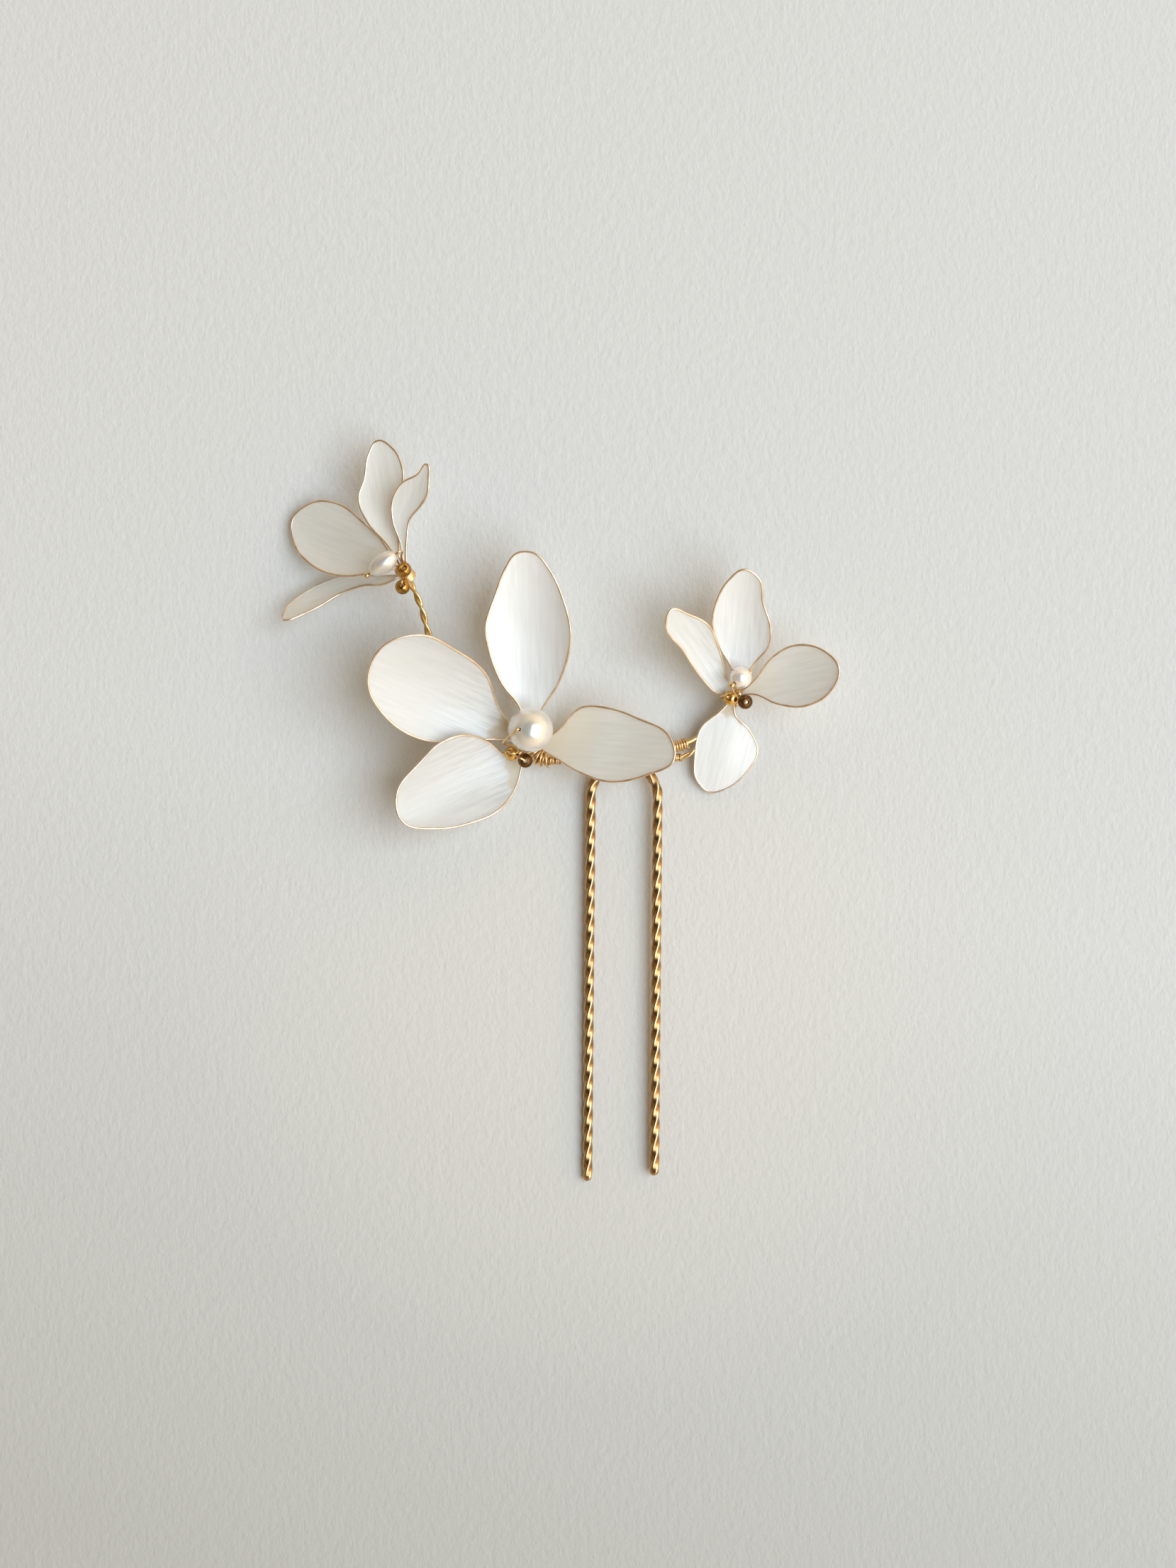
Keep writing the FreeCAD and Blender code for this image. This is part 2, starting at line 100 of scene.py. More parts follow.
RICE_PEARL_RADIUS = 1.75
RICE_PEARL_STRETCH = 1.6   # how much longer than wide it is
LARGE_PEARL_UNEVEN = 0.006  # how far a pearl is out of round, as a share of its radius
SMALL_PEARL_UNEVEN = 0.018
BEAD_RADIUS = 1.3
PEARL_BORE = 0.288         # radius of the hole
BEAD_BORE = 0.378
PEARL_LIP = 0.08           # radius of the rounded rim of the hole
BEAD_LIP = 0.14

# feet of the two upright hubs, which let the lowest turn clear the paper, and middle of the leaning one
LARGE_HUB = (-5.4, 11.9, 0.2)
RIGHT_HUB = (31.4, 20.7, 0.2)
LEFT_HUB = (-26.5, 41.6, 7.9)
LEFT_HUB_AXIS = (-0.35, 0.35, 0.87)
LEFT_HUB_HEIGHT = 2.6

# For every petal: the foot of its midrib, the midrib's heading and rise and the roll about it in degrees, its
# length, how far its sides cup up and its midrib bows down, and its outline as (along, across) the midrib.
PETALS = {
    "large_top": dict(base=(-4.9, 13.0, 4.0), heading=93, rise=18, roll=0, length=33.1, cup=1.8, bow=1.6,
                      outline=[(4.5, -2), (10, -5.5), (15.5, -7.5), (19, -8), (25, -7), (30, -5), (33, -2.5),
                               (33, 0.5), (30.5, 2.5), (26, 4.5), (20.5, 6.5), (15.5, 6), (10.5, 4.5),
                               (5.5, 1.5)]),
    "large_left": dict(base=(-6.5, 12.7, 4.0), heading=157, rise=27, roll=-7, length=30.6, cup=1.2, bow=1.6,
                       outline=[(5.5, -3), (12.5, -8.5), (19.5, -10), (26.5, -10), (31, -6), (30.5, 1),
                                (24.5, 5.5), (16.5, 6.5), (10, 4.5), (4, 1.5)]),
    "large_low": dict(base=(-6.5, 10.3, 3.8), heading=-155, rise=20, roll=-12, length=24.5, cup=1.6, bow=0.8,
                      outline=[(2.5, -1), (5, -4.5), (9, -7.5), (13.5, -8), (18.5, -6), (23.5, -3), (24.5, 2),
                               (19.5, 5.5), (13.5, 7), (8, 7), (2.5, 4)]),
    "large_right": dict(base=(-3.4, 11.7, 4.0), heading=-3, rise=24, roll=0, length=25.9, cup=1.2, bow=1.2,
                        outline=[(2.5, -1.5), (7.5, -4), (13.5, -5.5), (20.5, -4), (25.5, -1), (24.5, 2.5),
                                 (18.5, 5.5), (13.5, 7), (8, 7), (3.5, 3)]),
    "right_top": dict(base=(31.4, 21.7, 4.5), heading=89, rise=25, roll=0, length=22.2, cup=1.6, bow=1.2,
                      outline=[(4.5, -2.5), (8.5, -5), (11.5, -5), (16, -3.5), (20.5, -2.5), (22, 0),
                               (20, 2.5), (16, 4.5), (12, 5), (8.5, 4), (4, 1.5)]),
    "right_left": dict(base=(30.4, 20.9, 4.5), heading=131, rise=30, roll=0, length=20.8, cup=1.2, bow=0.8,
                       outline=[(3, -1), (8.5, -3), (13.5, -4), (17.5, -2.5), (20.5, -0.5), (19, 1.5),
                                (12.5, 2), (6, 2.5), (2, 2)]),
    "right_right": dict(base=(31.9, 20.9, 4.5), heading=12, rise=30, roll=0, length=19.0, cup=1.2, bow=0.8,
                        outline=[(2, -0.5), (6, -3), (11.5, -4.5), (16.5, -3), (19, 0.5), (17, 4), (12, 6),
                                 (7.5, 5), (2.5, 1.5)]),
    "right_low": dict(base=(30.3, 19.5, 4.2), heading=-104, rise=-11, roll=0, length=16.6, cup=-0.6, bow=-0.8,
                      outline=[(2, -1.5), (5.5, -4), (10.5, -4), (15, -2.5), (16.5, 0), (15, 3), (11.5, 5.5),
                               (7.5, 6.5), (4, 4), (2, 1)]),
    "left_top": dict(base=(-27.7, 44.3, 9.5), heading=100, rise=-4, roll=-10, length=20.5, cup=1.0, bow=0.8,
                     outline=[(5, -1), (9.5, -2), (15, -3.5), (18.5, -2.5), (20.5, 0), (18.5, 2), (14.5, 3.5),
                              (11.5, 5), (6.5, 4), (2.5, 1.5)]),
    "left_right": dict(base=(-26.3, 43.25, 9.9), heading=80, rise=17, roll=-20, length=17.6, cup=1.0, bow=0.5,
                       outline=[(4, 0.5), (7.5, 0.5), (10, -1), (12, -2), (15.5, -2), (17.5, -1.5), (15.5, 0),
                                (13, 3), (10.5, 4), (6.5, 3.5), (3, 1.5)]),
    "left_left": dict(base=(-28.2, 42.5, 9.5), heading=157, rise=-21, roll=0, length=21.7, cup=1.2, bow=0.8,
                      outline=[(4.5, -3.5), (8.5, -5), (14, -6.5), (19.5, -5), (22, -1), (20, 2.5), (15, 5),
                               (9.5, 5), (3, 2)]),
    "left_low": dict(base=(-27.5, 41.0, 9.0), heading=-162, rise=-8, roll=55, length=21.7, cup=1.0, bow=0.8,
                     outline=[(3.5, -2.5), (9.5, -6), (16, -5.5), (21, -2), (21.5, 1.5), (16.5, 0.5),
                              (11, -2), (7, -2), (2.5, 0.5)]),
}
# the point in each flower's hub that its petal wires lean towards
HUB_OF = {"large": (-5.4, 11.9, 2.6), "left": LEFT_HUB, "right": (31.4, 20.7, 2.9)}

# centre lines of the bundled wires and the stems
CROWN_ROUTE = [(-4.4, 10.8, 3.2), (-3.2, 9.6, 3.4), (-0.4, 9.4, 3.3), (4.6, 9.8, 2.9), (11.5, 10.2, 2.5),
               (16.1, 10.8, 2.9), (18.8, 11.3, 3.3)]
LEFT_STEM_ROUTE = [(-5.2, 12.2, 3.1), (-7.5, 13.9, 2.4), (-11.6, 17.4, 3.4), (-18.2, 22.5, 4.8),
                   (-22.4, 30.8, 6.0), (-24.1, 36.7, 6.4), (-25.6, 39.9, 6.6), (-26.3, 41.3, 7.4)]
RIGHT_STEM_ROUTE = [(17.6, 11.1, 3.3), (19.4, 11.5, 3.4), (21.1, 11.9, 3.4), (22.8, 12.5, 3.2),
                    (25.2, 13.9, 2.6), (28.4, 17.1, 2.3), (30.8, 19.9, 2.5)]
RIGHT_BRACE_ROUTE = [(17.6, 10.7, 3.1), (19.4, 10.1, 3.2), (21.0, 9.7, 3.1), (22.8, 10.3, 2.8),
                     (25.0, 12.1, 2.2), (28.4, 15.5, 1.9), (31.1, 19.3, 2.0)]
# where the stems begin to move with their flower, and where they are wholly with it
LEFT_BEND = ((-6.0, 12.8, 2.8), (-10.5, 16.5, 3.2))
RIGHT_BEND = ((18.0, 11.0, 3.3), (20.5, 11.8, 3.4))

# ---------------------------------------------------------------- looks
# how much white pigment each film holds: 1 is an opaque enamel, 0 a clear resin
PIGMENT = {"large_top": 1.0, "large_left": 1.0, "large_low": 1.0, "large_right": 0.45,
           "right_top": 0.9, "right_left": 0.9, "right_right": 0.5, "right_low": 0.9,
           "left_top": 0.45, "left_right": 0.45, "left_left": 0.4, "left_low": 0.6}
# how light each petal's white is, raised or lowered petal by petal as painted light and shade, and what share of
# the light the film lets straight through
PAINTED_LIGHT_TONE = {"large_top": 0.95, "large_left": 0.80, "large_low": 0.72, "large_right": 1.0,
        "right_top": 0.93, "right_left": 0.86, "right_right": 1.0, "right_low": 0.97,
        "left_top": 1.0, "left_right": 1.0, "left_left": 0.98, "left_low": 0.96}
CLEAR = {"large_top": 0.06, "large_left": 0.12, "large_low": 0.12, "large_right": 0.10,
         "right_top": 0.12, "right_left": 0.16, "right_right": 0.10, "right_low": 0.04,
         "left_top": 0.12, "left_right": 0.06, "left_left": 0.25, "left_low": 0.22}
# distance along the midrib at which the white begins, and the length in which an enamel or a thinner
# film comes up to its full white
WHITE_FROM = {"large_top": 1.0, "large_left": 5.5, "large_low": 3.0, "large_right": 7.0,
              "right_right": 4.0, "right_low": 2.5}
WHITE_FROM_OTHERS = 1.5
ENAMEL_PIGMENT = 0.6       # films with more pigment than this count as enamel
SHARP_FADE = 0.5
SLOW_FADE = 9.0

CAMERA_PLACE = (5.16, 5.13, 400.0)
CAMERA_LENS = 52.08        # for a sensor 36 mm wide
PAPER_TOP = -0.02          # just below the design's table, at height 0
PAPER_REACH = 2000.0       # far past the picture on every side

WINDOW_AZIMUTH = -12.0     # degrees, as is the next
WINDOW_ELEVATION = 58.0
WINDOW_DISTANCE = 2.6      # metres, as are the next two
WINDOW_WIDTH = 2.6
WINDOW_HEIGHT = 2.1
WINDOW_POWER = 80.0
WINDOW_COLOUR = (0.735, 0.88, 0.994)
# the room's colour by the upward part of the direction: 0 is level and 1 straight up
ROOM_COLOUR = {0.0: (1.24, 0.94, 0.58), 0.5: (1.13, 0.86, 0.53), 0.7: (0.85, 0.65, 0.40),
               0.8: (0.12, 0.10, 0.08), 1.0: (0.03, 0.026, 0.02)}
ROOM_FAR_SIDE = 0.25       # the room's brightness away from the window and on its side
ROOM_WINDOW_SIDE = 1.35

# ---------------------------------------------------------------- what the frame says about each piece
record = frame["record"]
BODY_OF = {node: body for body, members in record["behaviour"]["bodies"].items() for node in members}
SPIN = {joint["child"]: joint for joint in frame["joints"] if joint["name"].endswith("_spin")}


# ---------------------------------------------------------------- curves
def unit(v):
    """The vector, or each of several, at length one."""
    v = np.asarray(v, float)
    return v / np.linalg.norm(v, axis=-1, keepdims=True)


def smooth_curve(points, step=0.3):
    """Points close together on a curve that runs smoothly through the given ones."""
    p = np.array(points, float)
    chord = np.linalg.norm(np.diff(p, axis=0), axis=1)
    tangent = np.zeros_like(p)
    for i in range(1, len(p) - 1):
        before = unit(p[i] - p[i - 1])
        after = unit(p[i + 1] - p[i])
        tangent[i] = unit(before * chord[i] + after * chord[i - 1])
    for end, near in ((0, 1), (-1, -2)):
        along = unit(p[near] - p[end]) * (1 if end == 0 else -1)
        tangent[end] = unit(2 * np.dot(tangent[near], along) * along - tangent[near])
    out = []
    for i in range(len(p) - 1):
        count = max(3, int(math.ceil(chord[i] / step)))
        t = np.arange(count)[:, None] / count
        out.append((2 * t ** 3 - 3 * t ** 2 + 1) * p[i] + (t ** 3 - 2 * t ** 2 + t) * chord[i] * tangent[i]
                   + (3 * t ** 2 - 2 * t ** 3) * p[i + 1] + (t ** 3 - t ** 2) * chord[i] * tangent[i + 1])
    return np.vstack(out + [p[-1:]])


def distances(path):
    """How far along the path each of its points lies."""
    return np.concatenate([[0], np.cumsum(np.linalg.norm(np.diff(path, axis=0), axis=1))])


def sampled(path, places, values=None):
    """The path's points, or other values given at its points, at distances along it."""
    along = distances(path)
    values = path if values is None else values
    return np.stack([np.interp(places, along, column) for column in values.T], axis=1)


def resampled(path, step):
    """The path again with evenly spaced points."""
    length = distances(path)[-1]
    return sampled(path, np.linspace(0, length, max(4, int(length / step) + 1)))


def level_frame(path):
    """Directions level to the side and up, at every point of a path."""
    forward = unit(np.gradient(path, axis=0))
    side = unit(np.cross(forward, (0, 0, 1)))
    return side, np.cross(side, forward)


def waver(rng, x, size):
    """A slow unevenness of about the given size along x: the sum of four waves."""
    value = np.zeros_like(x)
    for _ in range(4):
        value += np.sin(x * rng.uniform(0.5, 2.6) + rng.uniform(0, 2 * math.pi))
    return value * size / 2


def coil(route, turns, radius, seed=None, squash=1.0, phase=0.0, steps=22):
    """Centre line of wire wound round a route. With a seed it is wound by hand, a little unevenly.

    squash flattens the turns, phase is the angle at which they start, and steps is the points in one turn.
    """
    path = smooth_curve(route, 0.1)
    length = distances(path)[-1]
    t = np.linspace(0, 1, int(abs(turns) * steps) + 1)
    reach = np.full_like(t, radius)
    if seed is not None:
        rng = random.Random(seed)
        t = t + waver(rng, t * abs(turns) * 2, 0.22 / abs(turns)) * np.sin(math.pi * t)
        reach += waver(rng, t * abs(turns) * 3, 0.045 * radius)
    places = np.clip(t, 0, 1) * length
    centre = sampled(path, places)
    side, up = (sampled(path, places, directions) for directions in level_frame(path))
    angle = (phase + 2 * math.pi * turns * np.linspace(0, 1, len(t)))[:, None]
    reach = reach[:, None]
    return centre + side * reach * np.cos(angle) + up * reach * squash * np.sin(angle)


# ---------------------------------------------------------------- meshes
def sweep(path, radius, sides=12, section=None, twist=0.0, round_ends=True):
    """Solid wire along a path: points, faces and a map of distance along and round it.

    section gives the relative radius at an angle, and twist is the length of one turn of it. The relative
    radius at every point is returned too.
    """
    path = np.asarray(path, float)
    forward = unit(np.gradient(path, axis=0))
    side = np.zeros_like(path)
    seed = (0, 0, 1) if abs(forward[0][2]) < 0.9 else (1, 0, 0)
    side[0] = unit(np.cross(forward[0], seed))
    for i in range(1, len(path)):
        side[i] = unit(side[i - 1] - forward[i] * np.dot(side[i - 1], forward[i]))
    up = np.cross(forward, side)
    along = distances(path)
    scale = np.ones(len(path))
    if round_ends:
        caps = np.radians(CAP_RINGS)
        ahead = np.sin(caps) * radius
        before = path[0] - np.outer(ahead, forward[0])
        after = path[-1] + np.outer(ahead[::-1], forward[-1])
        path = np.vstack([before, path, after])
        side = np.vstack([[side[0]] * 3, side, [side[-1]] * 3])
        up = np.vstack([[up[0]] * 3, up, [up[-1]] * 3])
        along = np.concatenate([along[0] - ahead, along, along[-1] + ahead[::-1]])
        scale = np.concatenate([np.cos(caps), scale, np.cos(caps[::-1])])
    theta = np.linspace(0, 2 * math.pi, sides, endpoint=False)
    turn = 2 * math.pi * along / twist if twist else np.zeros_like(along)
    shape = np.ones(sides) if section is None else section(theta)
    rings = []
    for i in range(len(path)):
        angle = theta + turn[i]
        out = np.outer(np.cos(angle), side[i]) + np.outer(np.sin(angle), up[i])
        rings.append(path[i] + out * (shape * radius * scale[i])[:, None])
    points = np.vstack(rings + [path[:1], path[-1:]])
    count = len(path)
    faces = []
    for i in range(count - 1):
        ring, next_ring = i * sides, (i + 1) * sides
        for k in range(sides):
            beside = (k + 1) % sides
            faces.append((ring + k, ring + beside, next_ring + beside, next_ring + k))
    first, last = count * sides, count * sides + 1
    end_ring = (count - 1) * sides
    for k in range(sides):
        beside = (k + 1) % sides
        faces.append((first, beside, k))
        faces.append((last, end_ring + k, end_ring + beside))
    around = np.tile(theta / (2 * math.pi), count)
    uv = np.stack([np.repeat(along, sides) / 10, around], axis=1)
    uv = np.vstack([uv, [[along[0] / 10, 0]], [[along[-1] / 10, 0]]])
    return points, faces, uv, np.concatenate([np.tile(shape, count), [1, 1]])


def lathe(profile, centre, axis, segments=64, uneven=0.0, seed=0):
    """Solid ring made by turning a closed outline of (radius, height) round an axis."""
    profile = np.array(profile, float)
    axis = unit(axis)
    side = unit(np.cross(axis, (0, 1, 0.2)))
    up = np.cross(axis, side)
    theta = np.linspace(0, 2 * math.pi, segments, endpoint=False)
    rng = random.Random(seed)
    phases = [rng.uniform(0, 2 * math.pi) for _ in range(3)]
    points = []
    for radius, height in profile:
        waves = np.sin(2 * theta + phases[0] + height) + np.sin(3 * theta + phases[1])
        reach = radius * (1 + uneven * waves)
        lift = height * (1 + uneven * np.sin(theta + phases[2]))
        points.append(np.outer(reach * np.cos(theta), side) + np.outer(reach * np.sin(theta), up)
                      + np.outer(np.ones(segments) * lift, axis))
    points = np.vstack(points) + centre
    rows = len(profile)
    faces = []
    for i in range(rows):
        ring, next_ring = i * segments, (i + 1) % rows * segments
        for k in range(segments):
            beside = (k + 1) % segments
            faces.append((ring + k, next_ring + k, next_ring + beside, ring + beside))
    return points, faces


def joined(*parts):
    """Several sweeps as one mesh."""
    points, faces, uvs, shapes = [], [], [], []
    offset = 0
    for p, f, uv, shape in parts:
        points.append(p)
        faces += [tuple(i + offset for i in face) for face in f]
        uvs.append(uv)
        shapes.append(shape)
        offset += len(p)
    return np.vstack(points), faces, np.vstack(uvs), np.concatenate(shapes)


def new_object(name, points, faces, material, uv=None, values=None):
    """Smooth mesh object. values are numbers at each point, by attribute name."""
    mesh = bpy.data.meshes.new(name)
    mesh.from_pydata((np.asarray(points) * MM).tolist(), [], faces)
    if uv is not None:
        layer = mesh.uv_layers.new(name="surface")
        corner = np.zeros(len(mesh.loops), np.int32)
        mesh.loops.foreach_get("vertex_index", corner)
        layer.data.foreach_set("uv", np.asarray(uv, np.float32)[corner].ravel())
    for key, value in (values or {}).items():
        mesh.attributes.new(key, "FLOAT", "POINT").data.foreach_set("value", np.asarray(value, np.float32))
    mesh.polygons.foreach_set("use_smooth", [True] * len(mesh.polygons))
    mesh.materials.append(material)
    mesh.update()
    obj = bpy.data.objects.new(name, mesh)
    bpy.context.scene.collection.objects.link(obj)
    return obj


def stand_for(obj, node):
    """The piece takes the place and the body of a CAD node, whose own mesh is hidden."""
    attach(obj, BODY_OF[node])
    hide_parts(node)


# ---------------------------------------------------------------- materials
class Material:
    """A Principled material with short names for the nodes that its colour and surface come from."""

    def __init__(self, name):
        self.material = bpy.data.materials.new(name)
        self.material.use_nodes = True
        self.nodes = self.material.node_tree.nodes
        self.links = self.material.node_tree.links
        self.shader = self.nodes["Principled BSDF"]

    def add(self, kind, inputs=None, **settings):
        """A new node with its settings, and with its inputs linked or set."""
        node = self.nodes.new(kind)
        for key, value in settings.items():
            setattr(node, key, value)
        for key, value in (inputs or {}).items():
            self.put(node.inputs[key], value)
        return node

    def put(self, socket, value):
        """Links an output to the socket, or sets the socket to a constant."""
        if isinstance(value, bpy.types.NodeSocket):
            self.links.new(value, socket)
        else:
            socket.default_value = value

    def set(self, **values):
        """The shader's own inputs, by their names in small letters."""
        for key, value in values.items():
            self.put(self.shader.inputs[key.replace("_", " ").title().replace("Ior", "IOR")], value)

    def object_place(self, scale):
        """Place in the object's own space, in metres times the scale."""
        place = self.add("ShaderNodeTexCoord").outputs["Object"]
        return self.add("ShaderNodeMapping", {"Vector": place, "Scale": scale}).outputs[0]

    def surface_place(self, scale):
        """Place on the mesh's own map of its surface, times the scale."""
        place = self.add("ShaderNodeUVMap", uv_map="surface").outputs[0]
        return self.add("ShaderNodeMapping", {"Vector": place, "Scale": scale}).outputs[0]

    def noise(self, place, scale=1.0, detail=3.0, rough=0.5):
        return self.add("ShaderNodeTexNoise", {"Vector": place, "Scale": scale, "Detail": detail,
                                               "Roughness": rough}).outputs["Fac"]

    def spread(self, value, low, high, to_low, to_high):
        """value between low and high, stretched to a new range and held there."""
        return self.add("ShaderNodeMapRange", {"Value": value, "From Min": low, "From Max": high,
                                               "To Min": to_low, "To Max": to_high}).outputs[0]

    def blend(self, share, first, second):
        """Colour between the first, at share 0, and the second, at share 1."""
        node = self.add("ShaderNodeMix", data_type="RGBA")
        self.put(node.inputs[0], share)
        for socket, colour in ((node.inputs[6], first), (node.inputs[7], second)):
            self.put(socket, colour if isinstance(colour, bpy.types.NodeSocket) else (*colour, 1.0))
        return node.outputs[2]

    def maths(self, operation, first, second):
        node = self.add("ShaderNodeMath", operation=operation)
        self.put(node.inputs[0], first)
        self.put(node.inputs[1], second)
        return node.outputs[0]

    def attribute(self, name):
        return self.add("ShaderNodeAttribute", attribute_name=name).outputs["Fac"]

    def bump(self, height, depth, strength=1.0):
        """Relief of the given depth in millimetres."""
        return self.add("ShaderNodeBump", {"Height": height, "Distance": depth * MM,
                                           "Strength": strength}).outputs[0]


def wire_material(name, colour, shade, rough, relief):
    """Drawn wire: fine lines along it, patches where the plating is duller, and tiny dents."""
    m = Material(name)
    lines = m.noise(m.surface_place((2.0, 14.0, 1.0)), 3.0, 4.0, 0.6)
    patches = m.noise(m.object_place((1, 1, 1)), 420.0, 3.0, 0.55)
    dents = m.noise(m.object_place((1, 1, 1)), 1500.0, 2.0, 0.5)
    tint = m.spread(patches, 0.38, 0.66, 0.0, 1.0)
    m.set(metallic=1.0, base_color=m.blend(tint, colour, shade),
          roughness=m.maths("ADD", m.spread(patches, 0.35, 0.7, rough, rough + 0.12),
                            m.spread(lines, 0.3, 0.7, 0.0, 0.08)),
          normal=m.bump(m.maths("ADD", m.maths("MULTIPLY", lines, 0.5), dents), relief, 0.6))
    return m.material


def bead_material(name, colour, shade):
    """Mirror-polished plate with a faint orange-peel and a few dull spots."""
    m = Material(name)
    peel = m.noise(m.object_place((1, 1, 1)), 900.0, 2.0, 0.5)
    spots = m.noise(m.object_place((1, 1, 1)), 1700.0, 4.0, 0.6)
    m.set(metallic=1.0, base_color=m.blend(m.spread(spots, 0.45, 0.7, 0.0, 1.0), colour, shade),
          roughness=m.spread(spots, 0.4, 0.75, 0.05, 0.16), normal=m.bump(peel, 0.003, 0.4))
    return m.material


def fork_material():
    """Gold plate over twisted square wire: burnished along its edges, a little duller and darker between them, the
    darker colour partly painted shade.
    """
    m = Material("twisted_fork_gold")
    ridge = m.spread(m.attribute("ridge"), 0.86, 0.99, 0.0, 1.0)
    grain = m.noise(m.object_place((1, 1, 1)), 700.0, 5.0, 0.6)
    lines = m.noise(m.surface_place((3.0, 30.0, 1.0)), 2.0, 3.0, 0.6)
    # lighter along the burnished edges; the darker flats between them are partly painted shade
    burnish_and_painted_shade = m.blend(ridge, (0.38, 0.22, 0.09), (0.62, 0.41, 0.22))
    m.set(metallic=1.0, base_color=m.blend(m.spread(grain, 0.5, 0.8, 0.0, 0.6), burnish_and_painted_shade, (0.26, 0.13, 0.05)),
          roughness=m.maths("ADD", m.spread(ridge, 0.0, 1.0, 0.24, 0.18),
                            m.spread(grain, 0.3, 0.8, 0.0, 0.14)),
          normal=m.bump(m.maths("ADD", lines, grain), 0.006, 0.5))
    return m.material


def pearl_material(name, body, bloom):
    """Nacre: layers of slightly different tints, a soft body and a glossy skin."""
    m = Material(name)
    clouds = m.noise(m.object_place((1, 1, 1)), 260.0, 3.0, 0.5)
    rings = m.noise(m.object_place((1, 1, 2.2)), 900.0, 4.0, 0.6)
    m.set(base_color=m.blend(m.spread(clouds, 0.35, 0.65, 0.0, 1.0), body, bloom), metallic=0.5,
          roughness=m.spread(clouds, 0.3, 0.7, 0.2, 0.34), normal=m.bump(rings, 0.003, 0.2),
          coat_weight=1.0, coat_roughness=0.2, sheen_weight=0.15, sheen_roughness=0.4)
    return m.material


def film_material(name, pigment, painted_light_tone, clear_share):
    """Pearly resin: brushed streaks with a painted sheen along them, brightest near the petal's foot, soft clouds,
    a few dark specks.

    Some light comes through the film as a glow, and the share clear_share straight through.
    """
    m = Material(name + "_pearl_resin")
    streaks = m.noise(m.surface_place((17.0, 1.1, 1.0)), 1.0, 5.0, 0.62)
    broad = m.noise(m.surface_place((4.5, 0.7, 1.0)), 1.0, 3.0, 0.5)
    clouds = m.noise(m.surface_place((2.2, 1.4, 1.0)), 1.0, 3.0, 0.5)
    white = m.attribute("white")

    # the petal's tone lightens or darkens its colours as painted light and shade for how it is lit
    clear = tuple((0.93 - k) * (painted_light_tone + 1) / 2 for k in (0.0, 0.06, 0.19))
    full = tuple((0.97 - k * (1.1 - pigment)) * painted_light_tone for k in (0.0, 0.015, 0.06))
    shadow = tuple(c * 0.90 for c in full)
    enamel = m.blend(m.spread(streaks, 0.32, 0.68, 0.0, 1.0), shadow, full)
    enamel = m.blend(m.spread(clouds, 0.35, 0.75, 0.0, 0.5), enamel, tuple(c * 0.96 for c in full))
    # painted highlight: near the petal's foot the streaks are lightened towards a brighter white, a painted sheen
    along = m.add("ShaderNodeSeparateXYZ", {0: m.surface_place((1, 1, 1))}).outputs[1]
    painted_sheen_mask = m.maths("MULTIPLY", m.spread(along, 0.4, 1.7, 1.0, 0.0), m.spread(streaks, 0.42, 0.62, 0.0, 1.0))
    painted_highlight = tuple(min(c * 1.2, 0.96) for c in full)
    enamel = m.blend(m.maths("MULTIPLY", painted_sheen_mask, pigment * 0.8), enamel, painted_highlight)

    cells = m.add("ShaderNodeTexVoronoi", {"Vector": m.surface_place((1, 1, 1)), "Scale": 2.4})
    dot = m.spread(cells.outputs["Distance"], 0.02, 0.05, 1.0, 0.0)
    draw = m.add("ShaderNodeSeparateColor", {"Color": cells.outputs["Color"]}).outputs[0]
    speck = m.maths("MULTIPLY", dot, m.maths("GREATER_THAN", draw, 0.86))
    colour = m.blend(white, clear, enamel)
    colour = m.blend(m.maths("MULTIPLY", speck, 0.55), colour, (0.25, 0.22, 0.18))

    relief = m.maths("ADD", m.maths("MULTIPLY", streaks, 0.45), broad)
    normal = m.bump(relief, 0.08, 0.55)
    m.set(base_color=colour, roughness=m.spread(streaks, 0.3, 0.7, 0.32, 0.48), normal=normal,
          coat_weight=0.25, coat_roughness=0.16, sheen_weight=0.1, sheen_roughness=0.5)

    through = m.add("ShaderNodeBsdfTranslucent", {"Color": colour, "Normal": normal})
    share = m.spread(white, 0.0, 1.0, 0.35, 0.36 - 0.31 * pigment)
    resin = m.add("ShaderNodeMixShader", {0: share, 1: m.shader.outputs[0], 2: through.outputs[0]})
    see_through = m.add("ShaderNodeBsdfTransparent", {"Color": (0.97, 0.95, 0.90, 1.0)})
    gap = m.spread(white, 0.0, 1.0, clear_share + 0.12, clear_share)
    film = m.add("ShaderNodeMixShader", {0: gap, 1: resin.outputs[0], 2: see_through.outputs[0]})
    m.put(m.nodes["Material Output"].inputs["Surface"], film.outputs[0])
    return m.material


PETAL_GOLD = wire_material("pale_petal_gold", (0.88, 0.74, 0.59), (0.66, 0.49, 0.34), 0.26, 0.002)
BINDING_GOLD = wire_material("binding_gold", (0.88, 0.65, 0.36), (0.66, 0.42, 0.17), 0.16, 0.002)
STEM_GOLD = wire_material("stem_gold", (0.78, 0.57, 0.30), (0.58, 0.38, 0.15), 0.22, 0.002)
THREAD_GOLD = wire_material("thread_gold", (0.86, 0.62, 0.32), (0.66, 0.42, 0.16), 0.16, 0.002)
FORK_GOLD = fork_material()
BRIGHT_BEAD = bead_material("polished_gold_bead", (0.78, 0.50, 0.16), (0.56, 0.30, 0.07))
DARK_BEAD = bead_material("dark_gold_bead", (0.17, 0.085, 0.03), (0.09, 0.042, 0.016))
AMBER_BEAD = bead_material("amber_gold_bead", (0.50, 0.27, 0.07), (0.34, 0.15, 0.03))
WHITE_PEARL = pearl_material("white_nacre", (0.80, 0.77, 0.72), (0.74, 0.69, 0.62))
CREAM_PEARL = pearl_material("cream_nacre", (0.94, 0.88, 0.81), (0.92, 0.84, 0.80))


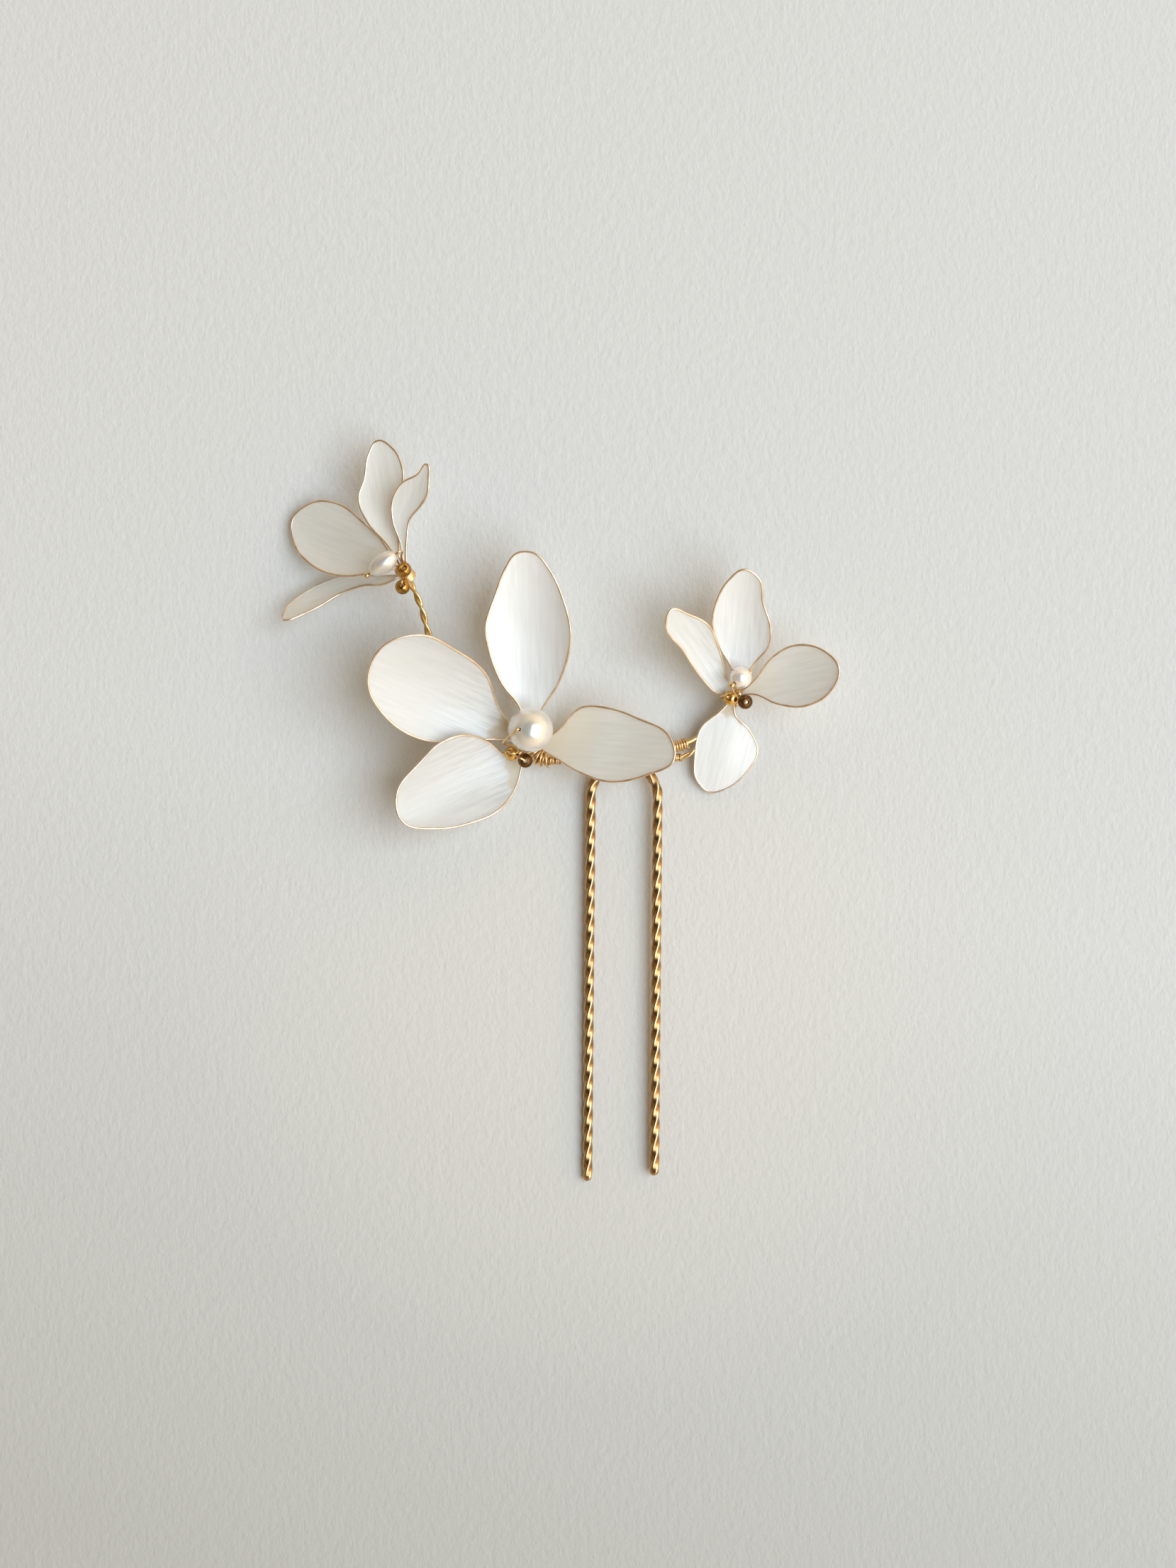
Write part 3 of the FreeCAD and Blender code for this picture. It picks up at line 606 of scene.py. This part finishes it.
# ---------------------------------------------------------------- petals
def petal_axes(petal):
    """Directions along the midrib, across it and out of the petal's face."""
    heading, rise, roll = (math.radians(petal[k]) for k in ("heading", "rise", "roll"))
    along = np.array([math.cos(heading) * math.cos(rise), math.sin(heading) * math.cos(rise), math.sin(rise)])
    level = np.array([-math.sin(heading), math.cos(heading), 0])
    face = np.cross(along, level)
    across = level * math.cos(roll) + face * math.sin(roll)
    return along, across, np.cross(along, across)


def on_petal(petal, s, w, lift=0.0):
    """Points of the petal at s along its midrib and w across it, lifted out of its face."""
    along, across, face = petal_axes(petal)
    part = s / petal["length"]
    height = petal["cup"] * (w / CUP_WIDTH) ** 2 - petal["bow"] * 4 * part * (1 - part) + lift
    return petal["base"] + np.outer(s, along) + np.outer(w, across) + np.outer(height, face)


def petal_line(petal):
    """The loop's centre line in the petal's own plane, from one side of the base round to the other."""
    half = LOOP_TAIL_GAP / 2
    return smooth_curve([(0, -half)] + petal["outline"] + [(0, half)], 0.15)


def petal_wire(name, petal):
    """The loop of wire round a petal, whose two ends lean into the hub."""
    line = resampled(petal_line(petal), 0.35)
    loop = on_petal(petal, line[:, 0], line[:, 1])
    hub = np.array(HUB_OF[name.split("_")[0]]) - petal["base"]
    tail = unit(hub) * min(LOOP_TAIL, np.linalg.norm(hub))
    inward = [loop[0] + tail * k for k in (1, 0.8, 0.6, 0.4, 0.2)]
    outward = [loop[-1] + tail * k for k in (0.2, 0.4, 0.6, 0.8, 1)]
    path = np.vstack([inward, loop, outward])
    path[1:-1] = (path[:-2] + 2 * path[1:-1] + path[2:]) / 4
    points, faces, uv, _ = sweep(path, PETAL_WIRE_RADIUS, 14)
    stand_for(new_object(name + "_wire", points, faces, PETAL_GOLD, uv), name + "_loop")


def film_ripple(rng, s, w, edge):
    """Unevenness of the film: waves in different directions, held flat along the wire."""
    ripple = np.zeros_like(s)
    for size, low, high in FILM_WAVES:
        turn = rng.uniform(0, math.pi)
        pitch = rng.uniform(low, high)
        ripple += size * np.sin((s * math.cos(turn) * 0.6 + w * math.sin(turn)) * pitch * 2
                                + rng.uniform(0, 2 * math.pi))
    return ripple * np.clip(edge / FILM_FLAT, 0, 1) ** 1.5


def shell_faces(rows, columns):
    """Faces of two sheets of points that lie on each other, closed round all four sides."""
    stride = columns + 1
    sheet = (rows + 1) * stride
    faces = []
    for i in range(rows):
        for k in range(columns):
            corner = i * stride + k
            top = (corner, corner + stride, corner + stride + 1, corner + 1)
            faces.append(top)
            faces.append(tuple(point + sheet for point in reversed(top)))
    for i in range(rows):
        near, far = i * stride, (i + 1) * stride
        faces.append((near, near + sheet, far + sheet, far))
        near, far = near + columns, far + columns
        faces.append((near, far, far + sheet, near + sheet))
    for k in range(columns):
        faces.append((k, k + 1, k + 1 + sheet, k + sheet))
        last = rows * stride + k
        faces.append((last, last + sheet, last + 1 + sheet, last + 1))
    return faces


def petal_film(name, petal, material):
    """The film as a thin closed shell: thick beside the wire, thin and a little wavy in the middle."""
    line = petal_line(petal)
    tip = int(np.argmax(line[:, 0] - 0.15 * np.abs(line[:, 1])))
    right = line[:tip + 1]
    left = line[tip:][::-1]
    rows = int(petal["length"] / FILM_ROW)
    v = np.linspace(0, 1, rows + 1)
    u = (1 - np.cos(np.linspace(0, math.pi, FILM_COLUMNS + 1))) / 2
    right = sampled(right, v * distances(right)[-1])
    left = sampled(left, v * distances(left)[-1])
    plan = right[:, None, :] * (1 - u)[None, :, None] + left[:, None, :] * u[None, :, None]
    s = plan[..., 0].ravel()
    w = plan[..., 1].ravel()
    width = np.linalg.norm(right - left, axis=1)[:, None]
    edge = (width * np.minimum(u, 1 - u)[None, :]).ravel()

    rng = random.Random(name)
    ripple = film_ripple(rng, s, w, edge)
    half = FILM_HALF + FILM_RIM * np.exp(-edge / FILM_RIM_WIDTH)
    points = np.vstack([on_petal(petal, s, w, ripple + half), on_petal(petal, s, w, ripple - half)])

    begin = WHITE_FROM.get(name, WHITE_FROM_OTHERS)
    ragged = 0.35 * np.sin(w * 2.1 + rng.uniform(0, 6)) + 0.2 * np.sin(w * 5.3)
    fade = SHARP_FADE if PIGMENT[name] > ENAMEL_PIGMENT else SLOW_FADE
    white = np.clip((s + ragged - 0.25 * w - begin) / fade + 0.5, 0, 1)
    uv = np.stack([w / 10, s / 10], axis=1)
    film = new_object(name + "_resin", points, shell_faces(rows, FILM_COLUMNS), material, np.vstack([uv, uv]),
                      {"white": np.tile(white, 2)})
    clean(film)
    stand_for(film, name + "_film")


def clean(obj):
    """Welds points that fall together where the rows close up, and turns all faces outwards."""
    bm = bmesh.new()
    bm.from_mesh(obj.data)
    bmesh.ops.remove_doubles(bm, verts=bm.verts, dist=WELD)
    bmesh.ops.recalc_face_normals(bm, faces=bm.faces)
    bm.to_mesh(obj.data)
    bm.free()


def petals():
    """Wire and film of every petal; each film has a material of its own."""
    for name, petal in PETALS.items():
        petal_wire(name, petal)
        petal_film(name, petal, film_material(name, PIGMENT[name], PAINTED_LIGHT_TONE[name], CLEAR[name]))


# ---------------------------------------------------------------- the fork
def turned(points, axis, degrees):
    """Points turned about the x, y or z axis."""
    angle = math.radians(degrees)
    i, j = {"x": (1, 2), "y": (2, 0), "z": (0, 1)}[axis]
    out = points.copy()
    out[:, i] = points[:, i] * math.cos(angle) - points[:, j] * math.sin(angle)
    out[:, j] = points[:, i] * math.sin(angle) + points[:, j] * math.cos(angle)
    return out


def rounded_square(theta):
    """Outline of a square wire with rounded edges and sides that are almost flat."""
    power = 4
    sides = np.abs(np.cos(theta)) ** power + np.abs(np.sin(theta)) ** power
    return 2 ** (1 / power - 0.5) / sides ** (1 / power)


def fork():
    """Two prongs and a half-circle of twisted square wire, set down with the design's slight turns."""
    half = FORK_SPACING / 2
    bend = [(half * -math.cos(a), half * math.sin(a), 0) for a in np.linspace(0, math.pi, 90)]
    path = np.array([(-half, -FORK_LEFT_PRONG, 0)] + bend + [(half, -FORK_RIGHT_PRONG, 0)])
    path = resampled(path, 0.2)
    for axis, degrees in (("y", FORK_ROLL), ("x", FORK_PITCH), ("z", FORK_TURN)):
        path = turned(path, axis, degrees)
    path = path + FORK_BEND_CENTRE
    points, faces, uv, ridge = sweep(path, FORK_EDGE, 48, rounded_square, FORK_TWIST)
    stand_for(new_object("fork_twisted_wire", points, faces, FORK_GOLD, uv, {"ridge": ridge}), "hair_fork")


# ---------------------------------------------------------------- bound wires
def strands(route, count, diameter, pitch):
    """Round wires twisted together along a route."""
    turns = distances(smooth_curve(route, 0.3))[-1] / pitch
    radius = STRAND_REACH * diameter / math.sin(math.pi / count)
    return joined(*[sweep(coil(route, turns, radius, phase=2 * math.pi * k / count, steps=26), diameter / 2)
                    for k in range(count)])


def wound_wire(name, node, *parts):
    """Binding wire, in one or more lengths, for one CAD node."""
    points, faces, uv, _ = joined(*parts)
    stand_for(new_object(name, points, faces, BINDING_GOLD, uv), node)


def by_hand(route, turns, radius, seed, wire=WRAP_WIRE, squash=1.0):
    """A length of wire wound round a route, a little unevenly."""
    return sweep(coil(route, turns, radius, seed, squash), wire / 2)


def stem(name, node, parts, other, start, end):
    """Wires that leave the binding on the fork, shown in place of a CAD node. other, start and end are not used.
    """
    points, faces, uv, _ = joined(*parts)
    piece = new_object(name, points, faces, STEM_GOLD, uv)
    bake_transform(piece)
    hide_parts(node)


def hub_turns(name, node, base, axis, height, radius, turns, seed):
    """The binding round a flower's petal tails: a core with close turns of wire over it."""
    base = np.array(base, float)
    axis = unit(axis)
    lean = unit(np.array(HUB_LEAN) + axis)
    route = [base + lean * height * k / 4 for k in range(5)]
    core = sweep(resampled(smooth_curve(route, 0.2), 0.3), radius * HUB_CORE, 24, round_ends=False)
    winding = coil(route, turns, radius + HUB_LIFT, seed, steps=26)
    wound_wire(name, node, core, sweep(winding, height / turns * HUB_TURN))


def bindings():
    """The wires along the crown and the coils that bind them and the stems."""
    wound_wire("crown_bundle_wires", "crown_bundle", strands(CROWN_ROUTE, 3, BUNDLE_WIRE, BUNDLE_TWIST))
    wound_wire("crown_wrap_turns", "crown_wrap",
               by_hand([(10.0, 9.3, 2.2), (11.5, 9.35, 2.2), (13.0, 9.3, 2.2)], 8, 1.8, 11, squash=0.7))
    wound_wire("cross_wrap_turns", "cross_wrap",
               by_hand([(-4.3, 10.5, 3.3), (-3.2, 9.6, 3.4), (-1.8, 9.4, 3.4)], 6, 0.95, 12, CROSS_WIRE),
               by_hand([(-4.1, 10.3, 3.3), (-3.2, 9.6, 3.4), (-2.0, 9.4, 3.4)], -3, 1.36, 13, CROSS_WIRE))
    wound_wire("taper_wrap_turns", "taper_wrap",
               by_hand([(-1.5, 9.35, 3.4), (-0.6, 9.37, 3.35), (0.3, 9.42, 3.3)], 4, 0.8, 14))
    wound_wire("right_wrap_turns", "right_wrap",
               by_hand([(19.9, 11.6, 3.4), (21.1, 11.9, 3.4), (22.5, 12.35, 3.25)], 7, 0.95, 15))
    wound_wire("right_brace_wrap_turns", "right_brace_wrap",
               by_hand([(19.8, 10.0, 3.15), (20.6, 9.75, 3.12), (21.5, 9.8, 3.05)], 5, 0.62, 16))


def stems():
    """The twisted stem of the left flower, and the thick wire and the twisted pair of the right one."""
    stem("left_stem_wires", "left_stem", [strands(LEFT_STEM_ROUTE, 2, STEM_WIRE, STEM_TWIST)],
         "left_flower", *LEFT_BEND)
    thick = sweep(resampled(smooth_curve(RIGHT_STEM_ROUTE), 0.3), RIGHT_STEM_WIRE / 2, 16)
    stem("right_stem_wire", "right_stem", [thick], "right_flower", *RIGHT_BEND)
    stem("right_brace_wires", "right_brace", [strands(RIGHT_BRACE_ROUTE, 2, BRACE_WIRE, BRACE_TWIST)],
         "right_flower", *RIGHT_BEND)


def hubs():
    """The close turns round the petal tails of the three flowers."""
    axis = unit(LEFT_HUB_AXIS)
    left_foot = LEFT_HUB - axis * LEFT_HUB_HEIGHT / 2
    hub_turns("large_hub_turns", "large_hub", LARGE_HUB, (0, 0, 1), 4.0, 1.4, 11, 21)
    hub_turns("left_hub_turns", "left_hub", left_foot, axis, LEFT_HUB_HEIGHT, 1.15, 7, 22)
    hub_turns("right_hub_turns", "right_hub", RIGHT_HUB, (0, 0, 1), 4.3, 1.15, 11, 23)


def threads():
    """The thin wires through pearls and beads are shown as the design has them, in thread gold."""
    for node in ("large_centre_wire", "large_bead_wire", "left_pearl_pin", "left_bead_post", "left_bead_wire",
                 "right_pearl_pin", "right_bead_post", "right_bead_wire"):
        wire = frame["nodes"][node]
        if not wire.material_slots:
            wire.data.materials.append(THREAD_GOLD)
        for material_slot in wire.material_slots:
            material_slot.material = THREAD_GOLD


# ---------------------------------------------------------------- pearls and beads
def drilled(radius, stretch, lip, bore):
    """Outline of a ball with a hole whose rim is rounded, as (radius, height) points."""
    middle = bore + lip
    height = math.sqrt((radius - lip) ** 2 - middle ** 2)
    start = math.atan2(height, middle)
    rim = [(middle + lip * math.cos(a), height + lip * math.sin(a)) for a in np.linspace(start, math.pi, 8)]
    outside = [(radius * math.cos(a), radius * math.sin(a)) for a in np.linspace(-start, start, 48)[1:-1]]
    wall = [(bore, height * k) for k in (0.6, 0.2, -0.2, -0.6)]
    below = [(r, -h) for r, h in reversed(rim)]
    return [(r, h * stretch) for r, h in outside + rim + wall + below]


def widest_radius(node):
    """Half the longest side of the box round a CAD node, in millimetres."""
    low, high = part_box(node)
    return max(high - low) / MM / 2


def ball(node, ending, profile, uneven, material):
    """A drilled ball on the wire that its joint turns about."""
    joint = SPIN[node]
    points, faces = lathe(profile, np.array(joint["pos_m"]) / MM, joint["axis"], 72, uneven, node)
    obj = new_object(node + ending, points, faces, material)
    clean(obj)
    stand_for(obj, node)


def pearl(node, radius, stretch, uneven, material):
    """A pearl of the given radius across its hole, and stretch times as long along it."""
    ball(node, "_nacre", drilled(radius, stretch, PEARL_LIP, PEARL_BORE), uneven, material)


def bead(node, material):
    """A gold bead; all of them have one size."""
    ball(node, "_shell", drilled(BEAD_RADIUS, 1.0, BEAD_LIP, BEAD_BORE), 0.0, material)


def balls():
    """The pearl and the two beads of each flower."""
    pearl("large_pearl", widest_radius("large_pearl"), 1.0, LARGE_PEARL_UNEVEN, WHITE_PEARL)
    bead("large_outer_bead", BRIGHT_BEAD)
    bead("large_inner_bead", DARK_BEAD)
    pearl("left_pearl", RICE_PEARL_RADIUS, RICE_PEARL_STRETCH, SMALL_PEARL_UNEVEN, WHITE_PEARL)
    bead("left_upper_bead", AMBER_BEAD)
    bead("left_lower_bead", AMBER_BEAD)
    pearl("right_pearl", widest_radius("right_pearl"), 1.0, SMALL_PEARL_UNEVEN, CREAM_PEARL)
    bead("right_inner_bead", BRIGHT_BEAD)
    bead("right_outer_bead", DARK_BEAD)


# ---------------------------------------------------------------- floor, light and camera
def paper():
    """Fine-grained paper, with painted shade towards the bottom of the picture and painted warm light round the
    prongs.
    """
    m = Material("soft_grained_paper")
    fibres = m.noise(m.object_place((1, 0.4, 1)), 1500.0, 4.0, 0.6)
    tooth = m.noise(m.object_place((1, 0.8, 1)), 620.0, 5.0, 0.6)
    white = m.blend(m.spread(fibres, 0.3, 0.7, 0.0, 1.0), (0.635, 0.635, 0.635), (0.665, 0.665, 0.665))
    place = m.add("ShaderNodeSeparateXYZ", {0: m.add("ShaderNodeTexCoord").outputs["Object"]})
    # painted shade: the paper darkens towards the bottom of the picture and a little towards the left
    painted_shade_ramp = m.maths("SUBTRACT", m.maths("MULTIPLY", place.outputs[0], -0.25), place.outputs[1])
    with_painted_shade = m.blend(m.spread(painted_shade_ramp, 0.0, 0.15, 0.0, 1.0), white, (0.47, 0.465, 0.45))
    # painted light: a warm glow round the prongs stands in for light thrown back from the gold onto the paper
    painted_bounce_place = m.add("ShaderNodeMapping", {"Vector": m.add("ShaderNodeTexCoord").outputs["Object"],
                                            "Location": (-0.15, 0.25, 0.0), "Scale": (12.0, 12.0, 12.0)})
    painted_bounce_light = m.add("ShaderNodeTexGradient", {"Vector": painted_bounce_place.outputs[0]}, gradient_type="SPHERICAL")
    m.set(base_color=m.blend(m.maths("MULTIPLY", painted_bounce_light.outputs["Fac"], 0.6), with_painted_shade, (0.70, 0.67, 0.625)),
          roughness=0.92, normal=m.bump(m.maths("ADD", m.maths("MULTIPLY", fibres, 0.6), tooth), 0.26, 0.6))
    far = PAPER_REACH
    points = [(x, y, PAPER_TOP) for x, y in ((-far, -far), (far, -far), (far, far), (-far, far))]
    floor = new_object("paper_floor", points, [(0, 1, 2, 3)], m.material)


def room():
    """Warm room: dark overhead, and lighter towards the window's side."""
    world = bpy.data.worlds.new("room")
    bpy.context.scene.world = world
    world.use_nodes = True
    nodes = world.node_tree.nodes
    links = world.node_tree.links
    place = nodes.new("ShaderNodeTexCoord")
    split = nodes.new("ShaderNodeSeparateXYZ")
    ramp = nodes.new("ShaderNodeValToRGB")
    links.new(place.outputs["Generated"], split.inputs[0])
    side = nodes.new("ShaderNodeMapRange")
    ends = {"From Min": -1.0, "From Max": 1.0, "To Min": ROOM_FAR_SIDE, "To Max": ROOM_WINDOW_SIDE}
    for key, value in ends.items():
        side.inputs[key].default_value = value
    links.new(split.outputs["X"], side.inputs["Value"])
    links.new(side.outputs[0], nodes["Background"].inputs["Strength"])
    links.new(split.outputs["Z"], ramp.inputs[0])
    links.new(ramp.outputs[0], nodes["Background"].inputs["Color"])
    stops = ramp.color_ramp.elements
    stops[0].color = (*ROOM_COLOUR[0.0], 1)
    stops[1].color = (*ROOM_COLOUR[1.0], 1)
    for height in (0.5, 0.7, 0.8):
        stops.new(height).color = (*ROOM_COLOUR[height], 1)


def window():
    """Soft daylight from a large window, aimed at the pin."""
    light = bpy.data.lights.new("window_light", "AREA")
    light.shape = "RECTANGLE"
    light.size = WINDOW_WIDTH
    light.size_y = WINDOW_HEIGHT
    light.energy = WINDOW_POWER
    light.color = WINDOW_COLOUR
    obj = bpy.data.objects.new("window_light", light)
    bpy.context.scene.collection.objects.link(obj)
    azimuth, elevation = math.radians(WINDOW_AZIMUTH), math.radians(WINDOW_ELEVATION)
    direction = np.array([math.cos(azimuth) * math.cos(elevation), math.sin(azimuth) * math.cos(elevation),
                          math.sin(elevation)])
    obj.location = direction * WINDOW_DISTANCE
    obj.rotation_mode = "QUATERNION"
    obj.rotation_quaternion = obj.location.to_track_quat("Z", "Y")


def camera():
    """The photographer's place, straight above the pin, looking down."""
    data = bpy.data.cameras.new("camera")
    data.sensor_width = 36.0
    data.lens = CAMERA_LENS
    data.clip_start = 0.01
    data.clip_end = 20.0
    obj = bpy.data.objects.new("camera", data)
    bpy.context.scene.collection.objects.link(obj)
    obj.location = np.array(CAMERA_PLACE) * MM
    bpy.context.scene.camera = obj


camera()
window()
room()
paper()
bpy.context.scene.view_settings.view_transform = "Standard"
fork()
bindings()
stems()
hubs()
threads()
petals()
balls()
